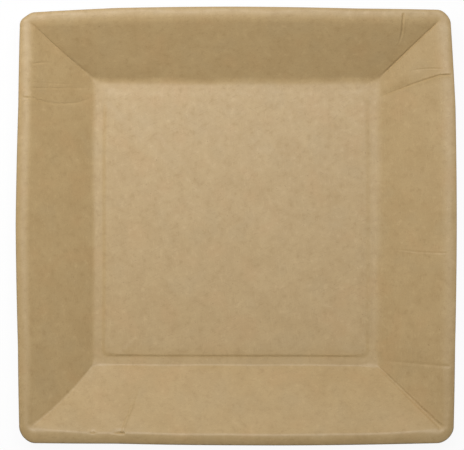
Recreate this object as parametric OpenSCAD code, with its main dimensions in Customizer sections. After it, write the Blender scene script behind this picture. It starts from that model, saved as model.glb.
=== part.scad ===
// Square paper plate, pressed from one sheet of brown kraft board.
// The floor is a raised panel inside a flat foot band, which is what the plate stands on.
// Four flat walls rise from the band and meet in sharp folds at the corners. At the top the
// board bends over a shoulder to a crest, and from there a brim rolls down to the cut edge.
// The board is swept as one sheet of even thickness: a section is worked out from the middle
// of the plate to the cut edge, and each point of it becomes a rounded square ring. The floor's
// rings have straight sides, which bow outwards more and more up the walls.
// The origin is on the table, under the middle of the plate.

/* [Plate] */
// Width over the cut edge, at the middle of two opposite sides
plate_w = 230; // [190:1:270]
// Height from the table to the crest of the rim
plate_h = 18; // [12:0.5:30]
// Thickness of the board
board_t = 0.45; // [0.3:0.05:0.8]
// How far the middle of each side stands out past its two ends
side_bow = 2; // [0:0.1:3]
// How far the floor lies off the middle of the outline, towards the back
floor_shift = 1.3; // [-3:0.1:3]

/* [Rim] */
// Width of the brim in plan, from its crest to the cut edge
brim_w = 3.7; // [1:0.1:6]
// Radius to which the brim is rolled, over its upper face
brim_r = 8; // [7:0.5:20]
// Radius of the bend from a wall up to the crest
shoulder_r = 8; // [3:0.5:10]
// Corner radius of the outline
corner_r = 8.3; // [5:0.1:14]

/* [Walls] */
// Radius of the bend from the floor to a wall
foot_bend_r = 5; // [2:0.5:7]
// Radius of the fold where two walls meet, seen from above
fold_r = 1.2; // [0.8:0.1:3]
// Depth of the crease that runs up the middle of each corner fold
fold_d = 0.35; // [0:0.05:0.6]
// Width of a small pleat pressed into a wall
pleat_w = 1.3; // [0.8:0.1:2]
// Depth of the deepest pleat
pleat_d = 0.45; // [0.1:0.05:0.6]

/* [Floor] */
// Width of the flat floor, between the bends at the foot of two opposite walls
floor_w = 147.6; // [120:0.2:160]
// Corner radius of the floor
floor_corner_r = 4; // [2:0.5:12]
// Width of the foot band that the plate stands on
foot_w = 3.6; // [1:0.1:12]
// Height of the middle panel above the foot band
panel_rise = 0.5; // [0.2:0.1:2]
// Width of the slope from the foot band up to the panel
step_w = 1.2; // [0.6:0.1:4]
// Corner radius of the panel
panel_corner_r = 3; // [1:0.5:12]

/* [Smoothness] */
// Longest stretch of a side between two points, as a share of half its length
side_step = 0.27; // [0.1:0.01:0.5]
// Steps in each bend of the section
bend_steps = 4; // [2:1:6]
// Steps from the crest of the brim to its edge
brim_steps = 6; // [3:1:8]
// Steps round each corner, an even number
corner_steps = 8; // [6:2:10]

/* [Hidden] */

// Pleats pressed into each side, in order round the plate: right, back, left, front.
// Each gives its place along the side at the rim, its place at the foot of the wall, both
// as shares of half the side's straight length, and its depth at the rim and at the foot,
// as shares of the deepest.
PLEATS = [
  [[-0.705, -0.94, 0.6, 0.3], [0.75, 0.9, 1, 0.35]],
  [[-0.827, -0.98, 0.9, 0]],
  [[-0.694, -0.96, 0.8, 0.7], [-0.645, -0.875, 0.7, 0.4]],
  [[-0.563, -0.6, 0.7, 0]]
];

half_t = board_t / 2;

// Heights of the middle of the board's thickness
foot_z = half_t;
panel_z = foot_z + panel_rise;
crest_z = plate_h - half_t;

// Distances from the plate's middle to where each stretch of the section ends
floor_s = floor_w / 2;
step_s = floor_s - foot_w;
panel_s = step_s - step_w;
rim_s = plate_w / 2 - side_bow;
crest_s = rim_s - brim_w;

// Slope of the step up to the panel
step_slope = atan2(panel_rise, step_w);

// Each wall is the straight line that touches both the bend at its foot and the shoulder
wall_run = crest_s - floor_s;
wall_rise = crest_z - foot_z - shoulder_r - foot_bend_r;
wall_slope = atan2(wall_rise, wall_run)
  + asin((shoulder_r + foot_bend_r) / norm([wall_run, wall_rise]));
wall_foot_s = floor_s + foot_bend_r * sin(wall_slope);
wall_top_s = crest_s - shoulder_r * sin(wall_slope);

// The brim turns down through this angle. Its radius is drawn on the middle of the board.
brim_slope = asin(brim_w / brim_r);
brim_mid_r = brim_r - half_t;

// Folds and pleats fade out over this height at the foot of a wall, so that none of them
// reaches below the foot band
mark_fade = 2 * max(fold_d, pleat_d);
function mark(z) = min(1, (z - foot_z) / mark_fade);

// A point of the section is its distance from the middle, its height, the direction in
// which the board's upper face lies, and how deeply folds and pleats mark it.
foot_bend = [
  for (i = [0 : bend_steps])
    let (
      a = wall_slope * i / bend_steps,
      z = foot_z + foot_bend_r * (1 - cos(a))
    )
    [floor_s + foot_bend_r * sin(a), z, -sin(a), cos(a), mark(z)]
];
shoulder = [
  for (i = [0 : bend_steps])
    let (
      a = wall_slope * (1 - i / bend_steps),
      z = crest_z - shoulder_r * (1 - cos(a))
    )
    [crest_s - shoulder_r * sin(a), z, -sin(a), cos(a), mark(z)]
];
brim = [
  for (i = [1 : brim_steps])
    let (
      share = i / brim_steps,
      a = brim_slope * share
    )
    [
      crest_s + brim_mid_r * sin(a),
      crest_z - brim_mid_r * (1 - cos(a)),
      sin(a),
      cos(a),
      (1 - share) * (1 - share)
    ]
];
section = concat(
  [
    [panel_s, panel_z, tan(step_slope / 2), 1, 0],
    [step_s, foot_z, tan(step_slope / 2), 1, 0]
  ],
  foot_bend,
  shoulder,
  brim
);
last_ring = len(section) - 1;

// Corner radius of the ring at distance s, which is tightest along the corner folds
ring_radii = [
  [panel_s, panel_corner_r],
  [floor_s, floor_corner_r],
  [wall_foot_s, fold_r],
  [wall_top_s, fold_r],
  [rim_s, corner_r]
];
function ring_r(s) = lookup(s, ring_radii);

// How far up the wall a ring lies, from 0 at its foot to 1 at its top
function wall_share(s) = lookup(s, [[wall_foot_s, 0], [wall_top_s, 1]]);

// A station is a place along a side: its share of the straight length at the rim and at
// the foot of the wall, and the depth of the pleat there at the rim and at the foot.
function mix(a, b, t) = a + (b - a) * t;
wall_top_half = wall_top_s - fold_r;
wall_foot_half = wall_foot_s - fold_r;
pleat_rim_share = pleat_w / 2 / wall_top_half;
pleat_foot_share = pleat_w / 4 / wall_foot_half;

function pleat_stations(p) = [
  [p[0] - pleat_rim_share, p[1] - pleat_foot_share, 0, 0],
  [p[0], p[1], p[2] * pleat_d, p[3] * pleat_d],
  [p[0] + pleat_rim_share, p[1] + pleat_foot_share, 0, 0]
];

// Plain stations between two others, evenly spaced and close enough for a smooth bow
function between(a, b) =
  let (n = max(1, ceil((b[0] - a[0]) / side_step)))
  [for (i = [1 : 1 : n - 1]) mix(a, b, i / n)];

function join(groups) = [for (g = groups) each g];

function side_stations(pleats) =
  let (
    groups = concat(
      [[[-1, -1, 0, 0]]],
      [for (p = pleats) if (p[0] < 0) pleat_stations(p)],
      [[[0, 0, 0, 0]]],
      [for (p = pleats) if (p[0] > 0) pleat_stations(p)],
      [[[1, 1, 0, 0]]]
    ),
    last = len(groups) - 1
  )
  join([
    for (g = [0 : last])
      let (own = groups[g])
      g == last ? own : concat(own, between(own[len(own) - 1], groups[g + 1][0]))
  ]);

// Share of half a ring's straight length at which a station lies when the ring is t of the way
// up the wall. Every station runs up the wall in a straight line.
function station_share(station, t) =
  mix(station[1] * wall_foot_half, station[0] * wall_top_half, t)
  / mix(wall_foot_half, wall_top_half, t);

// Point on the face of the board that lies up by `up`, at a station of the +X side
function side_point(p, station, up) =
  let (
    t = wall_share(p[0]),
    share = station_share(station, t),
    lift = up - p[4] * mix(station[3], station[2], t)
  )
  [
    p[0] + p[2] * lift + side_bow * t * (1 - share * share),
    share * (p[0] - ring_r(p[0])),
    p[1] + p[3] * lift
  ];

// The same on the rounded corner that follows that side, at angle a
function corner_point(p, a, up) =
  let (
    r = ring_r(p[0]),
    lift = up - p[4] * fold_d * max(0, 1 - abs(a - 45) / 30),
    reach = r + p[2] * lift
  )
  [p[0] - r + reach * cos(a), p[0] - r + reach * sin(a), p[1] + p[3] * lift];

function turn(p, quarter) = quarter == 0 ? p : turn([-p[1], p[0], p[2]], quarter - 1);
function shift(p) = [0, floor_shift * (1 - wall_share(p[0])), 0];

stations = [for (pleats = PLEATS) side_stations(pleats)];
corner_angles = [for (i = [1 : corner_steps - 1]) 90 * i / corner_steps];

// One closed ring of the board's upper or lower face
function ring(p, up) = [
  for (side = [0 : 3]) each [
    for (station = stations[side]) shift(p) + turn(side_point(p, station, up), side),
    for (a = corner_angles) shift(p) + turn(corner_point(p, a, up), side)
  ]
];

module plate() {
  upper = join([for (p = section) ring(p, half_t)]);
  lower = join([for (p = section) ring(p, -half_t)]);
  half = len(upper);
  ring_len = half / len(section);
  middle = 2 * half;
  quads = [
    for (i = [0 : last_ring - 1], j = [0 : ring_len - 1])
      let (
        k = (j + 1) % ring_len,
        inner = i * ring_len,
        outer = inner + ring_len
      )
      [inner + j, inner + k, outer + k, outer + j]
  ];
  edge = last_ring * ring_len;
  faces = [
    for (q = quads) each [[q[0], q[1], q[2]], [q[0], q[2], q[3]]],
    for (q = quads) each [
      [half + q[2], half + q[1], half + q[0]],
      [half + q[3], half + q[2], half + q[0]]
    ],
    for (j = [0 : ring_len - 1])
      let (k = (j + 1) % ring_len)
      each [
        [middle, k, j],
        [middle + 1, half + j, half + k],
        [edge + j, edge + k, half + edge + k],
        [edge + j, half + edge + k, half + edge + j]
      ]
  ];
  centres = [[0, floor_shift, panel_z + half_t], [0, floor_shift, panel_z - half_t]];
  color("burlywood")
    polyhedron(points = concat(upper, lower, centres), faces = faces, convexity = 6);
}

plate();
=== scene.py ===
"""A square paper plate of brown kraft board, seen from straight above.

The plate is one pressed sheet. Its mesh is swept round the plate as rings of stations, from the
middle of the floor over the crest of the rim to the cut edge, with the section of the CAD node
that it replaces. Folds, pleats and soft waves raise or lower the sheet along its own normal.
Lengths in the tables below are in millimetres, apart from those of the lamps. Sides run right,
back, left, front, and a place along a side is a share of half its straight length, from -1 to 1
anticlockwise.
"""

import math

import bpy
import numpy as np
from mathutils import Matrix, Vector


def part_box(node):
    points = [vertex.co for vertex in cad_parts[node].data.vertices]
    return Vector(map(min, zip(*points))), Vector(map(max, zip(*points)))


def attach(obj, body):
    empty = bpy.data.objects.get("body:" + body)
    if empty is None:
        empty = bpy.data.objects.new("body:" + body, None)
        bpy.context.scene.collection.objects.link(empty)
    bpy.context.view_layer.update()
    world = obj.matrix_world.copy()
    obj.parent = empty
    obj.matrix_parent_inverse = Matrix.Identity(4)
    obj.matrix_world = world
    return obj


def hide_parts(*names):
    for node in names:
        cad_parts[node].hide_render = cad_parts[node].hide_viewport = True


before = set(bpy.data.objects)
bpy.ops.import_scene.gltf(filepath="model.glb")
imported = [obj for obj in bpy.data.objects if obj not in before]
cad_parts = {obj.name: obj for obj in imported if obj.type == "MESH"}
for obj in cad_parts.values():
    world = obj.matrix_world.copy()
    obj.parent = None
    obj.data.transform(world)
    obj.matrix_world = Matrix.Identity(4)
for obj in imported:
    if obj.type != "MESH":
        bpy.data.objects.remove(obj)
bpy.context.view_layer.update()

MM = 0.001
low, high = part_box("plate")

# Outline and section, as in the part's source
PLATE_W = (high.x - low.x) / MM
PLATE_H = (high.z - low.z) / MM
BOARD_T = 0.45
SIDE_BOW = 2.0
FLOOR_SHIFT = 1.3
BRIM_W = 3.7
SHOULDER_R = 8.0
CORNER_R = 8.3
FOLD_R = 1.2
FOOT_BEND_R = 5.0
FLOOR_W = 147.6
FLOOR_CORNER_R = 4.0
FOOT_W = 3.6
PANEL_RISE = 0.5
STEP_W = 1.2
PANEL_CORNER_R = 3.0

# Corner radius at the middle of the floor
MIDDLE_CORNER_R = 0.6

# How the press left each side: width and rise of the step round the panel, how far the step lies
# outside its even place, the radii of the bends at the foot and at the top of the wall, and the
# slope of the brim at the cut edge, in degrees. Only the front is crisp.
SIDES = (
    {"step_w": 3.2, "rise": 0.22, "step_out": 0.0,
     "bend_r": 12.0, "shoulder_r": 12.5, "edge": 12.0},
    {"step_w": 4.0, "rise": 0.10, "step_out": -1.2,
     "bend_r": 10.0, "shoulder_r": 12.0, "edge": 22.0},
    {"step_w": 3.0, "rise": 0.50, "step_out": 0.0,
     "bend_r": 8.0, "shoulder_r": 8.0, "edge": 27.5},
    {"step_w": 1.5, "rise": 0.45, "step_out": 0.35,
     "bend_r": 2.6, "shoulder_r": 3.2, "edge": 28.0},
)

# A pucker that lifts the panel's edge near a corner, by this share of its rise. It starts at this
# distance from the plate's middle and is full this much further out.
PUCKER = {"side": 3, "at": -0.905, "width": 0.035, "lift": 0.6, "start": 64.0, "ramp": 4.0}

# How many rings each stretch of the section gets, from the middle outwards
PANEL_RINGS = 14
STEP_RINGS = 8
FOOT_RINGS = 3
BEND_RINGS = 8
WALL_RINGS = 16
SHOULDER_RINGS = 8
BRIM_RINGS = 8

# Stations round a corner, the widest gaps along a side and near its ends, and the share of a side
# at which its ends start
CORNER_STATIONS = 24
SIDE_GAP = 2.6
END_GAP = 1.2
END_SHARE = 0.88

# Levels up the sheet: the foot and the top of the wall, the crest of the rim and the cut edge
FOOT, TOP, CREST, EDGE = 0.0, 1.0, 1.4, 2.0

# Folds, pleats and nicks fade in over this height above the foot band
MARK_FADE = 0.9

# Pleats. "at" holds the places along the side at the foot, the middle and the top of the wall,
# "depth" the depths at the foot and at the top, and "span" the levels between which the pleat
# shows. "width" is the half-width of the valley and "lip" the height of the soft ridges beside it,
# as a share of its depth. A negative depth makes a ridge.
PLEATS = (
    {"side": 0, "at": (-0.966, -0.814, -0.703), "depth": (0.08, 0.18), "width": 1.3, "lip": 0.08,
     "span": (0.1, 1.6)},
    {"side": 0, "at": (-0.167, -0.158, -0.138), "depth": (0.05, 0.09), "width": 0.7, "lip": 0.4,
     "span": (0.3, 1.2)},
    {"side": 0, "at": (0.882, 0.810, 0.750), "depth": (0.22, 0.46), "width": 0.7, "lip": 0.25,
     "span": (0.0, 1.7)},
    {"side": 0, "at": (0.970, 0.890, 0.783), "depth": (0.12, 0.12), "width": 0.6, "lip": 0.2,
     "span": (0.6, 1.15)},
    {"side": 1, "at": (-0.985, -0.939, -0.837), "depth": (0.14, 0.40), "width": 0.8, "lip": 0.3,
     "span": (0.74, 1.4)},
    {"side": 1, "at": (-0.990, -0.958, -0.864), "depth": (0.08, 0.10), "width": 0.5, "lip": 0.3,
     "span": (1.0, 1.35)},
    {"side": 2, "at": (-0.985, -0.930, -0.810), "depth": (0.20, 0.20), "width": 0.7, "lip": 0.3,
     "span": (0.82, 1.05)},
    {"side": 2, "at": (-0.974, -0.822, -0.718), "depth": (0.05, 0.06), "width": 0.6, "lip": 0.3,
     "span": (0.3, 1.1)},
    {"side": 2, "at": (-0.944, -0.797, -0.688), "depth": (0.08, 0.10), "width": 0.7, "lip": 0.3,
     "span": (0.0, 1.1)},
    {"side": 2, "at": (-0.878, -0.705, -0.638), "depth": (0.10, 0.20), "width": 0.8, "lip": 0.3,
     "span": (0.05, 1.6)},
    {"side": 3, "at": (-0.660, -0.593, -0.566), "depth": (-0.14, -0.28), "width": 1.0, "lip": 0.3,
     "span": (0.45, 1.15)},
)

# A pleat fades over this many levels at each end. Its lips are centred this far from its middle
# and have this half-width, as shares of its own width.
PLEAT_FADE = 0.25
LIP_PLACE = 1.35
LIP_WIDTH = 0.5

# Offsets of the stations across a pleat, as shares of its width, and how much of them is kept at
# the foot, the middle and the top of the wall. They take up to STATION_ROOM of the gap to the next
# pleat.
PLEAT_STATIONS = (-2.6, -1.9, -1.4, -1.0, -0.65, -0.3, 0.0, 0.3, 0.65, 1.0, 1.4, 1.9, 2.6)
STATION_SPREADS = (0.25, 0.7, 1.0)
STATION_ROOM = 0.47

# Nicks are short creases along the crest: the place along the side, half the length, the level,
# half the width in levels, and the depth. Their ends fade over NICK_FADE.
NICKS = (
    {"side": 3, "at": -0.715, "half_length": 1.0, "level": 1.2, "half_width": 0.18, "depth": 0.50},
    {"side": 3, "at": -0.575, "half_length": 1.8, "level": 1.2, "half_width": 0.21, "depth": 0.80},
)
NICK_FADE = 0.5

# A nick's stations lie as if it were a pleat whose width is this share of its half length. A nick
# whose place differs by less than NICK_APART from a pleat's uses the stations of the pleat.
NICK_WIDTH = 0.5
NICK_APART = 0.03

# The crease up each corner fold, back right, back left, front left, front right: its depth at the
# foot and at the top, its half-width, and the level at which it starts
FOLD_DEPTHS = ((0.42, 0.27), (0.42, 0.02), (0.06, 0.10), (0.24, 0.50))
FOLD_WIDTHS = (1.15, 1.5, 1.0, 0.9)
FOLD_STARTS = (0.06, 0.06, -1.0, -1.0)

# The height of the lips beside a fold's crease, as a share of its depth, the level at which the
# crease ends, and over how many levels it fades in and out
FOLD_LIP = 0.12
FOLD_END = 1.35
FOLD_FADE_IN = 0.1
FOLD_FADE_OUT = 0.3

# How far each fold is pulled round the plate, anticlockwise, at the foot, the middle and the top of
# the wall, and how far along the sides the sheet follows it. The pull starts at this distance from
# the plate's middle, is full this much further out, and fades over the last levels before the edge.
FOLD_PULLS = ((0.5, 0.65, 0.5), (-0.7, 0.1, 0.0), (-0.3, 0.6, -1.6), (-0.4, 0.3, 1.2))
PULL_REACH = 35.0
PULL_START = 50.0
PULL_RAMP = 20.0
PULL_FADE = 0.8

# Soft waves in the sheet: wavelength, bearing in degrees, and height. Each is shifted this many
# radians from the one before.
WAVES = ((46.0, 20.0, 0.09), (37.0, 78.0, 0.07), (29.0, 131.0, 0.05), (23.0, 52.0, 0.035),
         (19.0, 163.0, 0.03))
WAVE_SHIFT = 2.4

# The panel has this share of the waves. They end this far inside the step and are full this much
# further in.
PANEL_WAVES = 0.5
PANEL_WAVE_MARGIN = 4.0
PANEL_WAVE_RAMP = 12.0

# How far each side's cut edge strays outwards from its even bow, at these places along it
STRAY_PLACES = (-1.0, -0.6, 0.0, 0.6, 1.0)
EDGE_STRAYS = (
    (0.65, 0.05, 0.17, 0.2, -0.9),
    (-0.4, -1.05, -0.8, -0.8, -1.7),
    (-0.2, -0.65, 0.0, -0.45, 0.2),
    (0.6, -0.4, -0.25, 0.2, 0.6),
)

# How much further each corner of the rim is rounded off: back right, back left, front left and
# front right
CORNER_TRIMS = (0.45, 0.9, 0.1, 0.0)

# Base colour and specular level of the board's faces and of its cut edge
BOARD_COLOUR = (0.430, 0.302, 0.145)
BOARD_SPECULAR = 0.30
EDGE_COLOUR = (0.46, 0.36, 0.22)
EDGE_SPECULAR = 0.15

# The darkest and the palest cloud of tone, as shares of the base colour, and the values of the
# cloud noise at which they are reached
CLOUD_RANGE = (0.3, 0.7)
CLOUD_TINTS = ((0.97, 0.96, 0.95), (1.04, 1.05, 1.07))

# Layers of colour over the clouds: the noise each follows, the values of it at which the layer
# starts to show and shows in full, how strong it then is, and its tint as shares of the base colour
KRAFT_LAYERS = (
    {"noise": "hue", "start": 0.54, "full": 0.72, "strength": 0.70, "tint": (1.03, 0.99, 0.98)},
    {"noise": "hue", "start": 0.46, "full": 0.28, "strength": 0.70, "tint": (0.98, 1.00, 1.04)},
    {"noise": "fleck", "start": 0.50, "full": 0.80, "strength": 0.62, "tint": (0.82, 0.78, 0.71)},
    {"noise": "fleck", "start": 0.46, "full": 0.20, "strength": 0.62, "tint": (1.18, 1.21, 1.31)},
    {"noise": "grain", "start": 0.50, "full": 0.75, "strength": 0.15, "tint": (0.82, 0.79, 0.74)},
    {"noise": "grain", "start": 0.46, "full": 0.25, "strength": 0.15, "tint": (1.18, 1.20, 1.26)},
    {"noise": "dark", "start": 0.60, "full": 0.72, "strength": 0.34, "tint": (0.76, 0.72, 0.65)},
    {"noise": "pale", "start": 0.60, "full": 0.72, "strength": 0.34, "tint": (1.22, 1.26, 1.38)},
    {"noise": "stray", "start": 0.64, "full": 0.74, "strength": 0.30, "tint": (0.76, 0.72, 0.65)},
    {"noise": "speck", "start": 0.75, "full": 0.81, "strength": 0.45, "tint": (0.55, 0.48, 0.38)},
)

# How much each of these noises raises the board's surface, as shares of BUMP_HEIGHT, and how
# strongly the bumps shade it
BUMP_SHARES = {"grain": 0.5, "fleck": 0.5, "pale": 0.3}
BUMP_HEIGHT = 0.1
BUMP_STRENGTH = 0.26

# Roughness at the first and at the second of these values of the fleck noise
ROUGHNESS_RANGE = (0.2, 0.8)
ROUGHNESS = (0.38, 0.46)

# The photograph is PHOTO_PIXELS wide. The plate spans PLATE_PIXELS of them, and its middle lies
# this many pixels to the right of the picture's and above it.
PHOTO_PIXELS = 464
PLATE_PIXELS = 441
PLATE_OFFSET = (4.0, -0.5)

# Lamps in metres and watts, which both point at the plate, and the strength of the surround
LAMPS = (
    {"name": "key", "place": (0.0, 0.30, 1.00), "size": (0.7, 0.5), "power": 8.6},
    {"name": "side", "place": (-0.22, 0.24, 0.40), "size": (0.3, 0.3), "power": 1.04},
)
SURROUND_STRENGTH = 0.06


def smooth(x):
    """0 below 0, 1 above 1, and a smooth ramp between them."""
    x = np.clip(x, 0.0, 1.0)
    return x * x * (3.0 - 2.0 * x)


def inside(distance, fade):
    """1 well inside a soft border and 0 well outside it, at this distance inwards from it."""
    return smooth(distance / fade + 0.5)


def mix(a, b, share):
    return a + (b - a) * share


def through(foot, middle, top, t):
    """A smooth curve through three values, at the foot, the middle and the top of the wall."""
    return foot * (2 * t - 1) * (t - 1) + middle * 4 * t * (1 - t) + top * t * (2 * t - 1)


def steps(count):
    """Even steps from 1 / count up to 1."""
    return [i / count for i in range(1, count + 1)]


# Heights of the middle of the board, and distances from the plate's middle
HALF_T = BOARD_T / 2
FOOT_Z = HALF_T
CREST_Z = PLATE_H - HALF_T
FLOOR_S = FLOOR_W / 2
STEP_S = FLOOR_S - FOOT_W - STEP_W / 2
RIM_S = PLATE_W / 2 - SIDE_BOW
CREST_S = RIM_S - BRIM_W

# Each wall is the straight line that touches both the bend at its foot and the shoulder
WALL_RUN = CREST_S - FLOOR_S
WALL_RISE = CREST_Z - FOOT_Z - SHOULDER_R - FOOT_BEND_R
WALL_SLOPE = math.atan2(WALL_RISE, WALL_RUN) + math.asin(
    (SHOULDER_R + FOOT_BEND_R) / math.hypot(WALL_RUN, WALL_RISE))
WALL_FOOT_S = FLOOR_S + FOOT_BEND_R * math.sin(WALL_SLOPE)
WALL_TOP_S = CREST_S - SHOULDER_R * math.sin(WALL_SLOPE)

# Corner radius of the ring at each distance from the middle
RING_RADII = (
    (0.0, MIDDLE_CORNER_R),
    (STEP_S, PANEL_CORNER_R),
    (FLOOR_S, FLOOR_CORNER_R),
    (WALL_FOOT_S, FOLD_R),
    (WALL_TOP_S, FOLD_R),
    (RIM_S, CORNER_R),
)


def ring_radius(s):
    distances, radii = zip(*RING_RADII)
    return np.interp(s, distances, radii)


def ring_half(s):
    """Half the straight length of the ring at distance s."""
    return s - ring_radius(s)


def mark_at(z):
    """How deeply folds and pleats mark the wall at height z."""
    return min(1.0, (z - FOOT_Z) / MARK_FADE)


def build_section(step_w, rise, step_out, bend_r, shoulder_r, edge):
    """The middle of the board, from the plate's middle to its cut edge.

    Each row is the distance from the middle, the height, the slope, the level up the sheet, and
    how deeply folds and pleats mark it.
    """
    rows = []
    inner = STEP_S + step_out - step_w / 2
    for share in steps(PANEL_RINGS):
        z = FOOT_Z + mix(PANEL_RISE, rise, share**2)
        rows.append((inner * share, z, 0.0, FOOT, 0.0))
    for share in steps(STEP_RINGS):
        z = FOOT_Z + rise * (1 - float(smooth(share)))
        rows.append((inner + step_w * share, z, 0.0, FOOT, 0.0))
    # The bend touches the same two lines whatever its radius
    bend_s = FLOOR_S + (FOOT_BEND_R - bend_r) * math.tan(WALL_SLOPE / 2)
    for share in steps(FOOT_RINGS)[:-1]:
        rows.append((mix(inner + step_w, bend_s, share), FOOT_Z, 0.0, FOOT, 0.0))
    for share in [0.0] + steps(BEND_RINGS):
        slope = WALL_SLOPE * share
        s = bend_s + bend_r * math.sin(slope)
        z = FOOT_Z + bend_r * (1 - math.cos(slope))
        rows.append((s, z, slope, FOOT, mark_at(z)))
    wall_foot_s, wall_foot_z = rows[-1][:2]
    # So does the shoulder, and the brim takes up the rest of the width
    crest_s = CREST_S + (shoulder_r - SHOULDER_R) * math.tan(WALL_SLOPE / 2)
    wall_top_s = crest_s - shoulder_r * math.sin(WALL_SLOPE)
    wall_top_z = CREST_Z - shoulder_r * (1 - math.cos(WALL_SLOPE))
    for share in steps(WALL_RINGS)[:-1]:
        z = mix(wall_foot_z, wall_top_z, share)
        s = mix(wall_foot_s, wall_top_s, share)
        rows.append((s, z, WALL_SLOPE, mix(FOOT, TOP, share), mark_at(z)))
    for share in [0.0] + steps(SHOULDER_RINGS):
        slope = WALL_SLOPE * (1 - share)
        s = crest_s - shoulder_r * math.sin(slope)
        z = CREST_Z - shoulder_r * (1 - math.cos(slope))
        rows.append((s, z, slope, mix(TOP, CREST, share), 1.0))
    brim_slope = math.radians(edge)
    brim_r = (RIM_S - crest_s) / math.sin(brim_slope) - HALF_T
    for share in steps(BRIM_RINGS):
        slope = brim_slope * share
        s = crest_s + brim_r * math.sin(slope)
        z = CREST_Z - brim_r * (1 - math.cos(slope))
        rows.append((s, z, -slope, mix(CREST, EDGE, share), (1 - share) ** 2))
    return np.array(rows)


def marks_on(side):
    """Three places and a half-width for each pleat of a side, and for each nick apart from them."""
    marks = [(pleat["at"], pleat["width"]) for pleat in PLEATS if pleat["side"] == side]
    tops = [places[2] for places, width in marks]
    for nick in NICKS:
        if nick["side"] == side and all(abs(nick["at"] - top) > NICK_APART for top in tops):
            marks.append(([nick["at"]] * 3, NICK_WIDTH * nick["half_length"]))
    return sorted(marks, key=lambda mark: mark[0][2])


def side_stations(side):
    """Places of one side's stations at the foot, the middle and the top of the wall."""
    marks = marks_on(side)
    tops = [-1.0] + [places[2] for places, width in marks] + [1.0]
    wall_top_half = ring_half(WALL_TOP_S)
    spread = np.array(STATION_SPREADS) / wall_top_half
    groups = [[np.full(3, -1.0)]]
    for (places, width), before, here, after in zip(marks, tops, tops[1:], tops[2:]):
        room_before = STATION_ROOM * (here - before) * wall_top_half
        room_after = STATION_ROOM * (after - here) * wall_top_half
        groups.append([
            np.array(places) + offset * width * spread
            for offset in PLEAT_STATIONS if -room_before < offset * width < room_after
        ])
    groups.append([np.full(3, 1.0)])
    # Plain stations fill the stretches between the pleats, and lie closer near the ends
    limits = (-1.0, -END_SHARE, END_SHARE, 1.0)
    gaps = (END_GAP, SIDE_GAP, END_GAP)
    found = []
    for group, following in zip(groups, groups[1:]):
        start, end = group[-1], following[0]
        stops = []
        for first, last, gap in zip(limits, limits[1:], gaps):
            a, b = np.clip((first, last), start[2], end[2])
            count = math.ceil((b - a) * wall_top_half / gap)
            stops += [(mix(a, b, share) - start[2]) / (end[2] - start[2])
                      for share in steps(count)]
        found += group
        found += [mix(start, end, stop) for stop in stops[:-1]]
    return found + groups[-1]


def build_stations():
    """Every station round the plate: its side, its three places, and its corner angle."""
    rows = []
    for side in range(4):
        rows += [(side, *places, 0.0) for places in side_stations(side)]
        rows += [
            (side, 1.0, 1.0, 1.0, math.pi / 2 * share)
            for share in steps(CORNER_STATIONS)[:-1]
        ]
    return np.array(rows)


stations = build_stations()
station_side = stations[:, 0].astype(int)
station_places = stations[:, 1:4].T
corner_angle = stations[:, 4]
in_corner = corner_angle > 0


def station_sections():
    """The section at every station. Towards the ends of a side it changes smoothly to the mean of
    that side's section and its neighbour's."""
    sections = np.array([build_section(**side) for side in SIDES])
    place = station_places[0]
    neighbour = np.where(place > 0, station_side + 1, station_side + 3) % 4
    weight = 0.5 * smooth((np.abs(place) - END_SHARE) / (1 - END_SHARE))
    rows = mix(sections[station_side], sections[neighbour], weight[:, None, None])
    s, z, slope, level, mark = np.transpose(rows, (2, 1, 0))
    pucker = PUCKER["lift"] * np.exp(-(((place - PUCKER["at"]) / PUCKER["width"]) ** 2))
    pucker = np.where(station_side == PUCKER["side"], pucker, 0.0)
    near_step = smooth((s - PUCKER["start"]) / PUCKER["ramp"]) * (s < FLOOR_S)
    z = z + (z - FOOT_Z) * pucker * near_step
    return s, z, slope, level, mark


def up_wall(s):
    """How far up the wall distance s lies, from 0 at its foot to 1 at its top."""
    return np.clip((s - WALL_FOOT_S) / (WALL_TOP_S - WALL_FOOT_S), 0.0, 1.0)


def wall_share(places, s):
    """Share of its ring's straight half-length at which a station lies, at distance s."""
    wall_middle_s = mix(WALL_FOOT_S, WALL_TOP_S, 0.5)
    halves = [ring_half(distance) for distance in (WALL_FOOT_S, wall_middle_s, WALL_TOP_S)]
    t = up_wall(s)
    along = through(*(place * half for place, half in zip(places, halves)), t)
    return along / mix(halves[0], halves[2], t)


def pleat_profile(offset, lip):
    """Height across a pleat: a sharp valley between two soft lips, deepest at -1."""
    valley = -np.clip(1.0 - np.abs(offset), 0.0, 1.0)
    return valley + lip * np.exp(-(((np.abs(offset) - LIP_PLACE) / LIP_WIDTH) ** 2))


def pleat_relief(along, path_of, level):
    """How far the pleats raise the sheet, where `along` is the place along the side in
    millimetres and `path_of` gives the place of a pleat's middle at the same points."""
    lift = np.zeros_like(along)
    for pleat in PLEATS:
        start, end = pleat["span"]
        ramp = inside(level - start, PLEAT_FADE) * inside(end - level, PLEAT_FADE)
        here = (station_side == pleat["side"]) & ~in_corner
        profile = pleat_profile((along - path_of(pleat["at"])) / pleat["width"], pleat["lip"])
        depth = mix(*pleat["depth"], np.clip(level, FOOT, TOP))
        lift += np.where(here, depth * ramp * profile, 0.0)
    return lift


def nick_relief(along, path_of, level):
    """How far the nicks raise the sheet, from the same values."""
    lift = np.zeros_like(along)
    for nick in NICKS:
        distance = np.abs(along - path_of([nick["at"]] * 3))
        window = inside(nick["half_length"] - distance, NICK_FADE)
        valley = np.clip(1.0 - np.abs(level - nick["level"]) / nick["half_width"], 0.0, 1.0)
        here = (station_side == nick["side"]) & ~in_corner
        lift -= np.where(here, nick["depth"] * window * valley, 0.0)
    return lift


def corner_near(share):
    """Number of the corner at the nearer end of the station's side."""
    return np.where(in_corner | (share > 0), station_side, (station_side + 3) % 4)


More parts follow.
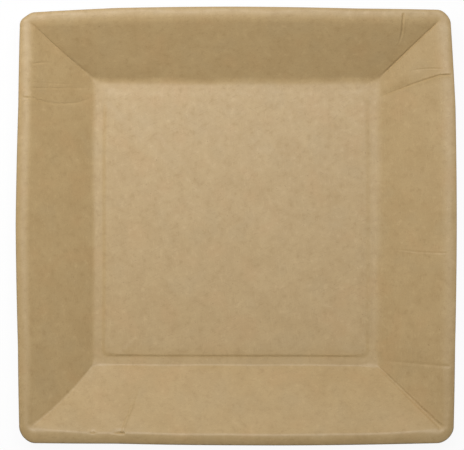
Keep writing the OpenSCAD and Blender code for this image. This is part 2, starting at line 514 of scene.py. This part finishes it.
def fold_relief(share, half, level):
    """How far the creases up the four corner folds raise the sheet."""
    half_arc = FOLD_R * math.pi / 4
    from_end = half_arc + (1.0 - np.abs(share)) * half
    reach = np.where(in_corner, FOLD_R * np.abs(corner_angle - math.pi / 4), from_end)
    corner = corner_near(share)
    foot_depth, top_depth = (np.array(depths)[corner] for depths in zip(*FOLD_DEPTHS))
    depth = mix(foot_depth, top_depth, np.clip(level, FOOT, TOP))
    width = np.array(FOLD_WIDTHS)[corner]
    start = np.array(FOLD_STARTS)[corner]
    ramp = smooth((FOLD_END - level) / FOLD_FADE_OUT) * inside(level - start, FOLD_FADE_IN)
    return depth * ramp * pleat_profile(reach / width, FOLD_LIP)


def fold_pull(share, half, s, level):
    """How far the folds pull the sheet outwards from its own side, and along it."""
    pulls = np.array(FOLD_PULLS)[corner_near(share)]
    pull = through(*np.moveaxis(pulls, -1, 0), up_wall(s))
    fade = smooth((EDGE - level) / PULL_FADE) * smooth((s - PULL_START) / PULL_RAMP)
    near = smooth(1 - (1 - np.abs(share)) * half / PULL_REACH)
    # A fold is pulled square to itself, and so at 45 degrees to both of its sides
    shift = pull * fade * near * math.sqrt(0.5)
    return np.where(in_corner | (share > 0), -shift, shift), shift


def wave_relief(x, y):
    """Soft waves over the whole sheet."""
    lift = np.zeros_like(x)
    for number, (length, bearing, height) in enumerate(WAVES):
        turn = math.radians(bearing)
        across = x * math.cos(turn) + y * math.sin(turn)
        lift += height * np.sin(2 * math.pi * across / length + WAVE_SHIFT * number)
    return lift


def edge_strays(share):
    """How far the rim strays outwards from its own side, and at a corner from the next one too."""
    strays = np.array(EDGE_STRAYS)
    every_side = np.array([np.interp(share[-1], STRAY_PLACES, row) for row in strays])
    own = every_side[station_side, np.arange(len(station_side))]
    turn = np.sin(corner_angle) ** 2
    following = strays[(station_side + 1) % 4, 0]
    return own * (1 - turn), np.where(in_corner, following * turn, 0.0)


def turned(x, y, z):
    """Points given for the right-hand side, turned to their own side."""
    turn = station_side * math.pi / 2
    return np.stack((x * np.cos(turn) - y * np.sin(turn),
                     x * np.sin(turn) + y * np.cos(turn), z), axis=-1)


def sheet_rings(up):
    """Rings of the face of the board that lies `up` above its middle, from the middle of the floor
    to the cut edge."""
    s, z, slope, level, mark = station_sections()
    share = wall_share(station_places[:, None, :], s)
    rise_share = up_wall(s)
    r = ring_radius(s)
    half = s - r
    along = share * half

    def path_of(places):
        return wall_share(places, s) * half

    # Waves fade out on the foot band, which stays flat, and towards the cut edge
    panel_part = PANEL_WAVES * smooth((STEP_S - PANEL_WAVE_MARGIN - s) / PANEL_WAVE_RAMP)
    wave_part = np.maximum(panel_part, mark * smooth(EDGE - level))
    flat = turned(np.where(in_corner, half + r * np.cos(corner_angle), half + r),
                  np.where(in_corner, half + r * np.sin(corner_angle), along), z)
    lift = up + wave_part * wave_relief(flat[..., 0], flat[..., 1]) + mark * (
        pleat_relief(along, path_of, level)
        + nick_relief(along, path_of, level)
        + fold_relief(share, half, level)
    )
    reach = r - np.sin(slope) * lift
    out, after = (rise_share * stray for stray in edge_strays(share))
    trim = np.array(CORNER_TRIMS)[station_side] * np.sin(2 * corner_angle) ** 2
    trim = trim * smooth(level - TOP)
    out, after = out - trim * np.cos(corner_angle), after - trim * np.sin(corner_angle)
    pull_out, pull_along = fold_pull(share, half, s, level)
    bow = rise_share * SIDE_BOW * (1 - share**2)
    x = np.where(in_corner, half + reach * np.cos(corner_angle), half + reach + bow)
    y = np.where(in_corner, half + reach * np.sin(corner_angle), along)
    rings = turned(x + out + pull_out, y + after + pull_along, z + np.cos(slope) * lift)
    rings[..., 1] += FLOOR_SHIFT * (1 - rise_share)
    return rings


def grid_faces(rings, length, start, flip):
    """Quads between neighbouring rings of points, the first of which is number start."""
    i, j = np.meshgrid(np.arange(rings - 1), np.arange(length), indexing="ij")
    k = (j + 1) % length
    quads = np.stack((i * length + j, (i + 1) * length + j,
                      (i + 1) * length + k, i * length + k), axis=-1).reshape(-1, 4) + start
    return quads[:, ::-1] if flip else quads


def build_plate():
    """One mesh of both faces of the board, each closed in the middle, and the cut edge."""
    upper, lower = sheet_rings(HALF_T), sheet_rings(-HALF_T)
    rings, length = upper.shape[:2]
    count = rings * length
    points = np.concatenate((
        upper.reshape(-1, 3), lower.reshape(-1, 3),
        [upper[0].mean(axis=0)], [lower[0].mean(axis=0)],
    )) * MM
    middle_up = 2 * count
    middle_down = middle_up + 1
    edge = (rings - 1) * length
    following = [(j, (j + 1) % length) for j in range(length)]
    faces = [tuple(quad) for quad in grid_faces(rings, length, 0, False)]
    faces += [tuple(quad) for quad in grid_faces(rings, length, count, True)]
    faces += [(middle_up, j, k) for j, k in following]
    faces += [(middle_down, count + k, count + j) for j, k in following]
    faces += [(edge + k, edge + j, count + edge + j, count + edge + k) for j, k in following]
    mesh = bpy.data.meshes.new("kraft_plate")
    mesh.from_pydata(points.tolist(), [], faces)
    # The last faces are the cut edge, which has a material of its own and sharp borders
    cut = np.arange(len(faces)) >= len(faces) - length
    mesh.polygons.foreach_set("use_smooth", ~cut)
    mesh.polygons.foreach_set("material_index", cut.astype(np.int32))
    mesh.update()
    plate = bpy.data.objects.new("kraft_plate", mesh)
    bpy.context.scene.collection.objects.link(plate)
    return plate


class Nodes:
    """A short way to add and link shader nodes."""

    def __init__(self, tree):
        self.tree = tree
        self.tree.nodes.clear()

    def fill(self, socket, value):
        """Links a socket to another one, or sets it to a plain value."""
        if isinstance(value, bpy.types.NodeSocket):
            self.tree.links.new(value, socket)
        else:
            socket.default_value = value

    def add(self, kind, inputs=None, **settings):
        node = self.tree.nodes.new(kind)
        for name, value in settings.items():
            setattr(node, name, value)
        for name, value in (inputs or {}).items():
            self.fill(node.inputs[name], value)
        return node

    def math(self, operation, a, b):
        return self.add("ShaderNodeMath", {0: a, 1: b}, operation=operation).outputs[0]

    def mix(self, factor, a, b):
        """Mixes two colours. They are inputs 6 and 7 of the node, and the result is output 2."""
        node = self.add("ShaderNodeMix", {0: factor, 6: a, 7: b}, data_type="RGBA")
        return node.outputs[2]

    def noise(self, where, size, detail, roughness=0.5):
        """Noise whose lumps are about `size` millimetres across."""
        return self.add("ShaderNodeTexNoise", {
            "Vector": where, "Scale": 1.0 / (size * MM), "Detail": detail, "Roughness": roughness,
        }).outputs["Fac"]

    def ramp(self, value, start, end, low=0.0, high=1.0):
        return self.add("ShaderNodeMapRange", {
            "Value": value, "From Min": start, "From Max": end, "To Min": low, "To Max": high,
        }, interpolation_type="SMOOTHSTEP").outputs["Result"]

    def fibres(self, where, bearing, width, length):
        """Noise drawn out into short straight fibres that lie along one bearing."""
        drawn = self.add("ShaderNodeMapping", {
            "Vector": where, "Rotation": (0.0, 0.0, math.radians(bearing)),
            "Scale": (length / width, 1.0, 1.0),
        }, vector_type="TEXTURE").outputs[0]
        return self.noise(drawn, width, detail=1.0)


def kraft_material(name, base, specular):
    """Brown board: soft clouds of tone and hue, flecks, pale and dark fibres, and rare specks."""
    material = bpy.data.materials.new(name)
    material.use_nodes = True
    nodes = Nodes(material.node_tree)
    where = nodes.add("ShaderNodeTexCoord").outputs["Object"]
    # A second place in the same noise, so that hues and specks don't follow the clouds and flecks
    elsewhere = nodes.add("ShaderNodeMapping", {
        "Vector": where, "Location": (0.3, 0.7, 0.1),
    }).outputs[0]
    noises = {
        "cloud": nodes.noise(where, size=11.0, detail=3.0),
        "hue": nodes.noise(elsewhere, size=15.0, detail=1.0),
        "fleck": nodes.noise(where, size=3.4, detail=3.0, roughness=0.6),
        "grain": nodes.noise(where, size=0.9, detail=3.0, roughness=0.6),
        "speck": nodes.noise(elsewhere, size=1.3, detail=1.0),
        "dark": nodes.fibres(where, bearing=24.0, width=0.42, length=3.6),
        "pale": nodes.fibres(where, bearing=97.0, width=0.38, length=3.2),
        "stray": nodes.fibres(elsewhere, bearing=151.0, width=0.40, length=4.0),
    }

    def tinted(tint):
        return (*(channel * share for channel, share in zip(base, tint)), 1.0)

    clouds = nodes.ramp(noises["cloud"], *CLOUD_RANGE)
    tone = nodes.mix(clouds, *(tinted(tint) for tint in CLOUD_TINTS))
    for layer in KRAFT_LAYERS:
        shown = nodes.ramp(noises[layer["noise"]], layer["start"], layer["full"],
                           high=layer["strength"])
        tone = nodes.mix(shown, tone, tinted(layer["tint"]))
    height = 0.0
    for noise_name, share in BUMP_SHARES.items():
        height = nodes.math("ADD", height, nodes.math("MULTIPLY", noises[noise_name], share))
    bump = nodes.add("ShaderNodeBump", {
        "Height": height, "Strength": BUMP_STRENGTH, "Distance": BUMP_HEIGHT * MM,
    })
    shader = nodes.add("ShaderNodeBsdfPrincipled", {
        "Base Color": tone,
        "Roughness": nodes.ramp(noises["fleck"], *ROUGHNESS_RANGE, *ROUGHNESS),
        "Normal": bump.outputs[0],
        "Specular IOR Level": specular,
    })
    nodes.add("ShaderNodeOutputMaterial", {"Surface": shader.outputs[0]})
    return material


def build_camera():
    """The camera looks straight down, far enough away to keep the plate's sides parallel."""
    distance = 1.5
    sensor = 36.0
    data = bpy.data.cameras.new("camera")
    camera = bpy.data.objects.new("camera", data)
    bpy.context.scene.collection.objects.link(camera)
    bpy.context.scene.camera = camera
    pixel = PLATE_W * MM / PLATE_PIXELS
    data.sensor_width = sensor
    data.lens = sensor * (distance - PLATE_H * MM) / (pixel * PHOTO_PIXELS)
    data.clip_end = 50.0
    right, above = PLATE_OFFSET
    camera.location = (-right * pixel, -above * pixel, distance)


def build_floor():
    """A pale floor. The camera sees it as almost pure white, with a trace of shadow."""
    reach = 8.0
    white_share = 0.93
    mesh = bpy.data.meshes.new("floor")
    corners = [(-reach, -reach, 0), (reach, -reach, 0), (reach, reach, 0), (-reach, reach, 0)]
    mesh.from_pydata(corners, [], [(0, 1, 2, 3)])
    floor = bpy.data.objects.new("floor", mesh)
    bpy.context.scene.collection.objects.link(floor)
    material = bpy.data.materials.new("floor")
    material.use_nodes = True
    nodes = Nodes(material.node_tree)
    path = nodes.add("ShaderNodeLightPath")
    seen = nodes.math("MAXIMUM", path.outputs["Is Camera Ray"], path.outputs["Is Glossy Ray"])
    seen = nodes.math("MAXIMUM", seen, path.outputs["Is Transmission Ray"])
    paint = nodes.add("ShaderNodeBsdfDiffuse", {"Color": (0.8, 0.8, 0.8, 1.0)})
    white = nodes.add("ShaderNodeEmission", {"Color": (1.0, 1.0, 1.0, 1.0), "Strength": 1.0})
    shader = nodes.add("ShaderNodeMixShader", {
        0: nodes.math("MULTIPLY", seen, white_share), 1: paint.outputs[0], 2: white.outputs[0],
    })
    nodes.add("ShaderNodeOutputMaterial", {"Surface": shader.outputs[0]})
    mesh.materials.append(material)


def build_lamps():
    for lamp in LAMPS:
        data = bpy.data.lights.new(lamp["name"], "AREA")
        data.shape = "RECTANGLE"
        data.size, data.size_y = lamp["size"]
        data.energy = lamp["power"]
        light = bpy.data.objects.new(lamp["name"], data)
        bpy.context.scene.collection.objects.link(light)
        light.location = lamp["place"]
        light.rotation_euler = (-light.location).to_track_quat("-Z", "Y").to_euler()


def build_surround():
    """A dim even surround, which the camera sees as white."""
    world = bpy.data.worlds.new("world")
    bpy.context.scene.world = world
    world.use_nodes = True
    nodes = Nodes(world.node_tree)
    path = nodes.add("ShaderNodeLightPath")
    seen = nodes.math("MAXIMUM", path.outputs["Is Camera Ray"], path.outputs["Is Transmission Ray"])
    strength = nodes.ramp(seen, 0.0, 1.0, low=SURROUND_STRENGTH)
    surround = nodes.add("ShaderNodeBackground", {
        "Color": (1.0, 1.0, 1.0, 1.0), "Strength": strength,
    })
    nodes.add("ShaderNodeOutputWorld", {"Surface": surround.outputs[0]})


build_camera()
plate = build_plate()
plate.data.materials.append(kraft_material("kraft_board", BOARD_COLOUR, BOARD_SPECULAR))
plate.data.materials.append(kraft_material("kraft_cut_edge", EDGE_COLOUR, EDGE_SPECULAR))
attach(plate, "root")
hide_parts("plate")
build_floor()
build_lamps()
build_surround()
bpy.context.scene.view_settings.view_transform = "Standard"
